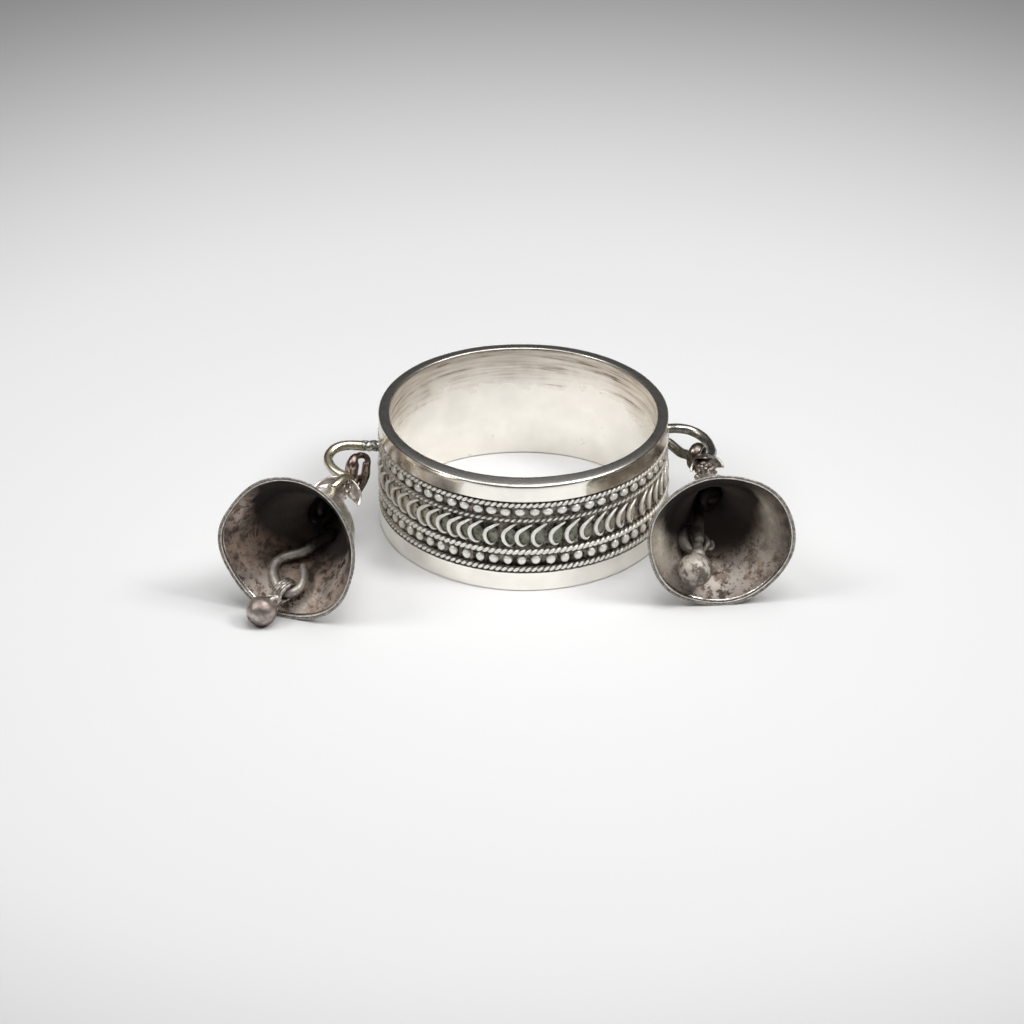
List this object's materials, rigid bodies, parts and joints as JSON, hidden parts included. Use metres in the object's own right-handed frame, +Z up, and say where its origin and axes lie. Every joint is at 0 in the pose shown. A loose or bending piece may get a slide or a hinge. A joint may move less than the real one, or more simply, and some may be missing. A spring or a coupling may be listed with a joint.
{
  "type": "bell ring",
  "caption": "Wide silver finger ring with a filigree frieze and a small flared bell with clapper on a wire hoop at each side, lying flat.",
  "frame": {"origin": "on the axis of the finger hole, in the plane of the band's lower edge, which rests on the surface", "axes": "+Z up along the finger hole's axis, -Y towards the mouths of the bells, +X to the closed right hoop"},
  "size_m": [0.0413, 0.0268, 0.011],
  "materials": {
    "band_silver": "polished silver collars over a dark oxidised filigree frieze",
    "bell_silver": "tarnished silver, brown and stained inside the bells",
    "hanger_wire": "dull silver wire with a brassy tint",
    "clapper_silver": "worn silver balls with dark pits"
  },
  "bodies": {
    "root": {"ring_band": "band_silver", "left_bell": "bell_silver", "right_bell": "bell_silver", "left_hanger": "hanger_wire", "right_hanger": "hanger_wire", "left_clapper": "clapper_silver", "right_clapper": "clapper_silver"}
  },
  "joints": []
}
